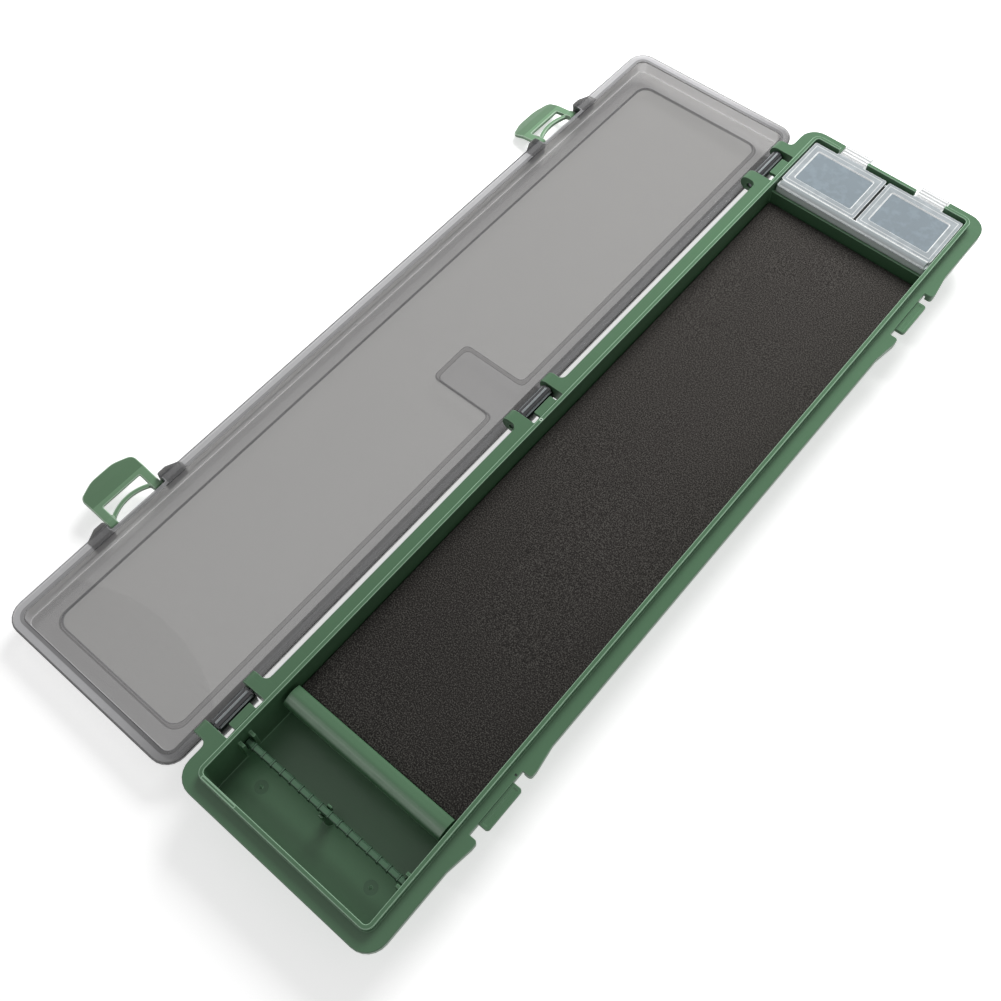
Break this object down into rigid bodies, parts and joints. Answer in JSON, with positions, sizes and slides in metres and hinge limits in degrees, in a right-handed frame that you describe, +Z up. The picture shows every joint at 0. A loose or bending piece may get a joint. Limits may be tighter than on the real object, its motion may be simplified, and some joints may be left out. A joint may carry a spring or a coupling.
{
  "type": "rig box",
  "caption": "Long flat tackle rig box with a hinged see-through lid, snap latches, a foam board, a turning rig bar and a small lidded bit box.",
  "frame": {"origin": "centre of the tray's flat underside", "axes": "+X from the hinges towards the latches' side, +Y along the box from the rig bar towards the bit box, +Z up; the lid lies open on the -X side at rest"},
  "size_m": [0.1909, 0.3585, 0.0222],
  "materials": {
    "green_moulding": "satin",
    "green_latch": "satin",
    "green_bar": "satin",
    "smoky_lid": "gloss",
    "milky_box": "satin",
    "clear_lid": "gloss",
    "foam": "matte",
    "hinge_pin_steel": "satin"
  },
  "bodies": {
    "base": {"base_tray": "green_moulding", "hinge_pin_near": "hinge_pin_steel", "hinge_pin_middle": "hinge_pin_steel", "hinge_pin_far": "hinge_pin_steel", "foam_pad": "foam", "bit_box": "milky_box"},
    "lid": {"lid": "smoky_lid"},
    "latch_near": {"latch_near": "green_latch"},
    "latch_far": {"latch_far": "green_latch"},
    "bit_lid_left": {"bit_box_lid_left": "clear_lid"},
    "bit_lid_right": {"bit_box_lid_right": "clear_lid"},
    "rig_bar": {"rig_bar": "green_bar"}
  },
  "joints": [
    {"name": "lid_hinge", "type": "hinge", "parent": "base", "child": "lid", "pos_m": [-0.04415, 0, 0.01545], "axis": [0, 1, 0], "range_deg": [0, 181.3]},
    {"name": "latch_near_hinge", "type": "hinge", "parent": "lid", "child": "latch_near", "pos_m": [-0.1303, -0.1203, 0.00584], "axis": [0, 1, 0], "range_deg": [-27.5, 69.7]},
    {"name": "latch_far_hinge", "type": "hinge", "parent": "lid", "child": "latch_far", "pos_m": [-0.1303, 0.1203, 0.00584], "axis": [0, 1, 0], "range_deg": [0, 97.2]},
    {"name": "bit_lid_left_hinge", "type": "hinge", "parent": "base", "child": "bit_lid_left", "pos_m": [-0.01733, 0.14455, 0.0213], "axis": [-1, 0, 0], "range_deg": [-110, 0]},
    {"name": "bit_lid_right_hinge", "type": "hinge", "parent": "base", "child": "bit_lid_right", "pos_m": [0.01733, 0.14455, 0.0213], "axis": [-1, 0, 0], "range_deg": [-110, 0]},
    {"name": "rig_bar_turn", "type": "hinge", "parent": "base", "child": "rig_bar", "pos_m": [0, -0.1553, 0.0127], "axis": [1, 0, 0], "continuous": true}
  ]
}
